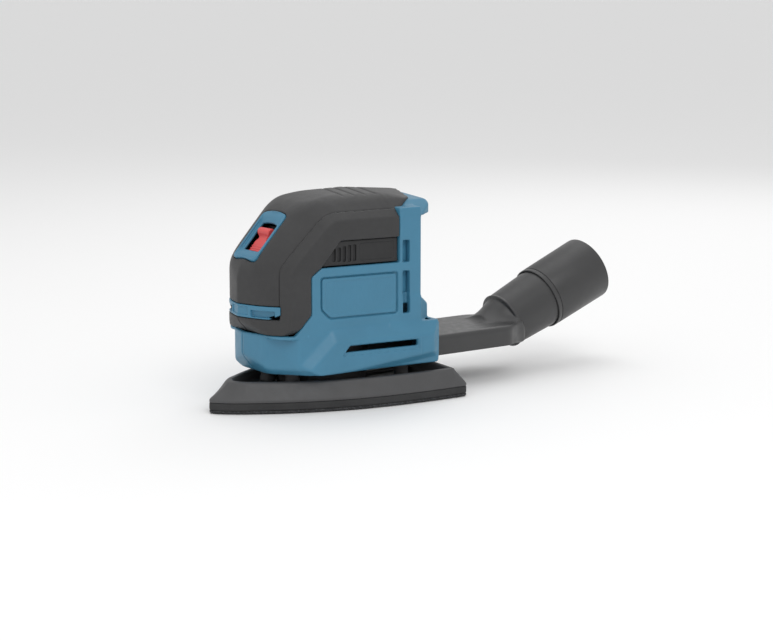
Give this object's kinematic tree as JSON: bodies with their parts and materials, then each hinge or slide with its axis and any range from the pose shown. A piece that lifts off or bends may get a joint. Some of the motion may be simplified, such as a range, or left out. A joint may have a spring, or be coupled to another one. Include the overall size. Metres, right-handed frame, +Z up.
{
  "type": "detail sander",
  "caption": "Cordless palm detail sander with an iron-shaped orbital pad, sloping front slide switch, rear battery bay and an angled dust-extraction tube.",
  "frame": {"origin": "underside of the sanding pad, on the motor axis", "axes": "+Z up from the pad, -X towards the pointed nose, +X towards the dust outlet"},
  "size_m": [0.2738, 0.0924, 0.1142],
  "materials": {
    "blue_plastic": "fine moulded texture, semi-matt",
    "soft_grip": "soft-touch overmould",
    "panel_plastic": "fine moulded texture",
    "red_plastic": "satin gloss",
    "black_plastic": "moulded",
    "brass": "plated spring metal",
    "hook_face": "hook pile",
    "foam": "closed-cell foam",
    "pad_plastic": "moulded, satin",
    "steel": "machined",
    "zinc": "die cast",
    "copper": "enamelled wire",
    "board": "solder mask",
    "leg_rubber": "moulded rubber",
    "seal_rubber": "moulded rubber",
    "wire": "insulation",
    "adapter_plastic": "moulded, satin"
  },
  "bodies": {
    "housing": {"nose_vent_band": "blue_plastic", "left_housing": "blue_plastic", "right_housing": "blue_plastic", "left_badge": "blue_plastic", "right_badge": "blue_plastic", "switch_bezel": "blue_plastic", "battery_shoe": "blue_plastic", "top_grip": "soft_grip", "left_side_grip": "soft_grip", "right_side_grip": "soft_grip", "left_vent_panel": "panel_plastic", "right_vent_panel": "panel_plastic", "switch_body": "black_plastic", "terminal_block": "black_plastic", "motor_end_cap": "black_plastic", "fan_shroud": "black_plastic", "capacitor_1": "black_plastic", "capacitor_2": "black_plastic", "power_driver": "black_plastic", "negative_terminal": "brass", "data_terminal_1": "brass", "data_terminal_2": "brass", "positive_terminal": "brass", "housing_screw_1": "steel", "housing_screw_2": "steel", "housing_screw_3": "steel", "housing_screw_4": "steel", "lower_bearing": "steel", "upper_bearing": "steel", "stator_core": "steel", "bearing_bracket": "zinc", "stator_windings": "copper", "controller_board": "board", "front_left_leg": "leg_rubber", "front_right_leg": "leg_rubber", "rear_left_leg": "leg_rubber", "rear_right_leg": "leg_rubber", "dust_seal": "seal_rubber", "negative_lead": "wire", "positive_lead": "wire"},
    "rotor": {"motor_shaft": "steel", "counterweight": "zinc", "dust_fan": "black_plastic", "rotor_core": "steel", "shaft_collar": "brass", "pad_screw": "steel"},
    "pad": {"pad_plate": "pad_plastic", "foam_pad": "foam", "hook_sheet": "hook_face", "leg_screw_1": "steel", "leg_screw_2": "steel", "leg_screw_3": "steel", "leg_screw_4": "steel", "eccentric_bearing": "steel"},
    "switch": {"switch_slider": "red_plastic"},
    "adapter": {"dust_adapter": "adapter_plastic", "outlet_sleeve": "adapter_plastic"}
  },
  "joints": [
    {"name": "rotor_spin", "type": "hinge", "parent": "housing", "child": "rotor", "pos_m": [0, 0, 0.05], "axis": [0, 0, 1], "continuous": true},
    {"name": "pad_orbit", "type": "hinge", "parent": "rotor", "child": "pad", "pos_m": [0.0008, 0, 0.012], "axis": [0, 0, 1], "continuous": true},
    {"name": "switch_slide", "type": "slide", "parent": "housing", "child": "switch", "axis": [-0.6718, 0, -0.7407], "range_m": [0, 0.006]},
    {"name": "adapter_pull", "type": "slide", "parent": "housing", "child": "adapter", "axis": [1, 0, 0], "range_m": [0, 0.06]}
  ],
  "couplings": [
    {"joint": "pad_orbit", "follows": "rotor_spin", "ratio": -1}
  ]
}
